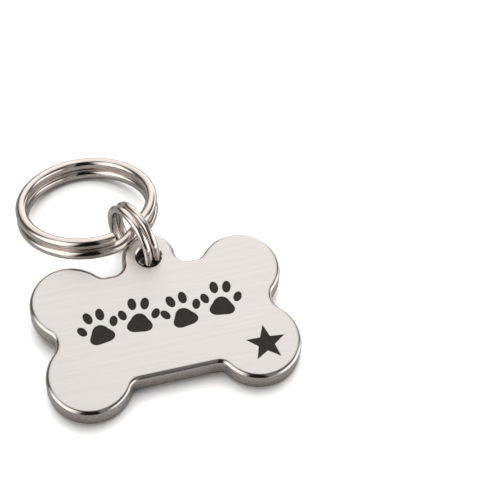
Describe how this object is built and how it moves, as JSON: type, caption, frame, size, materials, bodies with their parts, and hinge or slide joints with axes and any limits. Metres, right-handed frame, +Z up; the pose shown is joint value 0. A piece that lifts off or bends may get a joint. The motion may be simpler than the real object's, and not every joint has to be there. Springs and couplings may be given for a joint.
{
  "type": "pet id tag",
  "caption": "Bone-shaped steel identity tag with paw prints and a star filled in black, on a small split ring with a large split ring for the collar.",
  "frame": {"origin": "on the surface that the tag lies on, under the middle of the box round the whole object", "axes": "+Z up from the surface, +Y from the bone's lower edge towards the tab and the rings, +X along the bone to the star's end"},
  "size_m": [0.032, 0.0388, 0.0094],
  "materials": {
    "brushed_plate": "satin face brushed along the bone, polished rounded edges",
    "polished_wire": "polished nickel-plated spring wire",
    "black_fill": "matt black enamel fill"
  },
  "bodies": {
    "tag": {"tag_plate": "brushed_plate", "paw_print_1": "black_fill", "paw_print_2": "black_fill", "paw_print_3": "black_fill", "paw_print_4": "black_fill", "star_fill": "black_fill", "back_line_1": "black_fill", "back_line_2": "black_fill", "back_line_3": "black_fill", "back_line_4": "black_fill", "back_line_5": "black_fill"},
    "small_ring": {"small_split_ring": "polished_wire"},
    "large_ring": {"large_split_ring": "polished_wire"}
  },
  "joints": [
    {"name": "small_ring_swing", "type": "hinge", "parent": "tag", "child": "small_ring", "pos_m": [0, 0.0006, 0.0029], "axis": [0, -0.0725, 0.9974], "range_deg": [-54, 6]},
    {"name": "large_ring_lift", "type": "hinge", "parent": "small_ring", "child": "large_ring", "pos_m": [-0.00127, 0.00356, 0.00567], "axis": [0.829, 0.5386, -0.1502], "range_deg": [0, 90]}
  ]
}
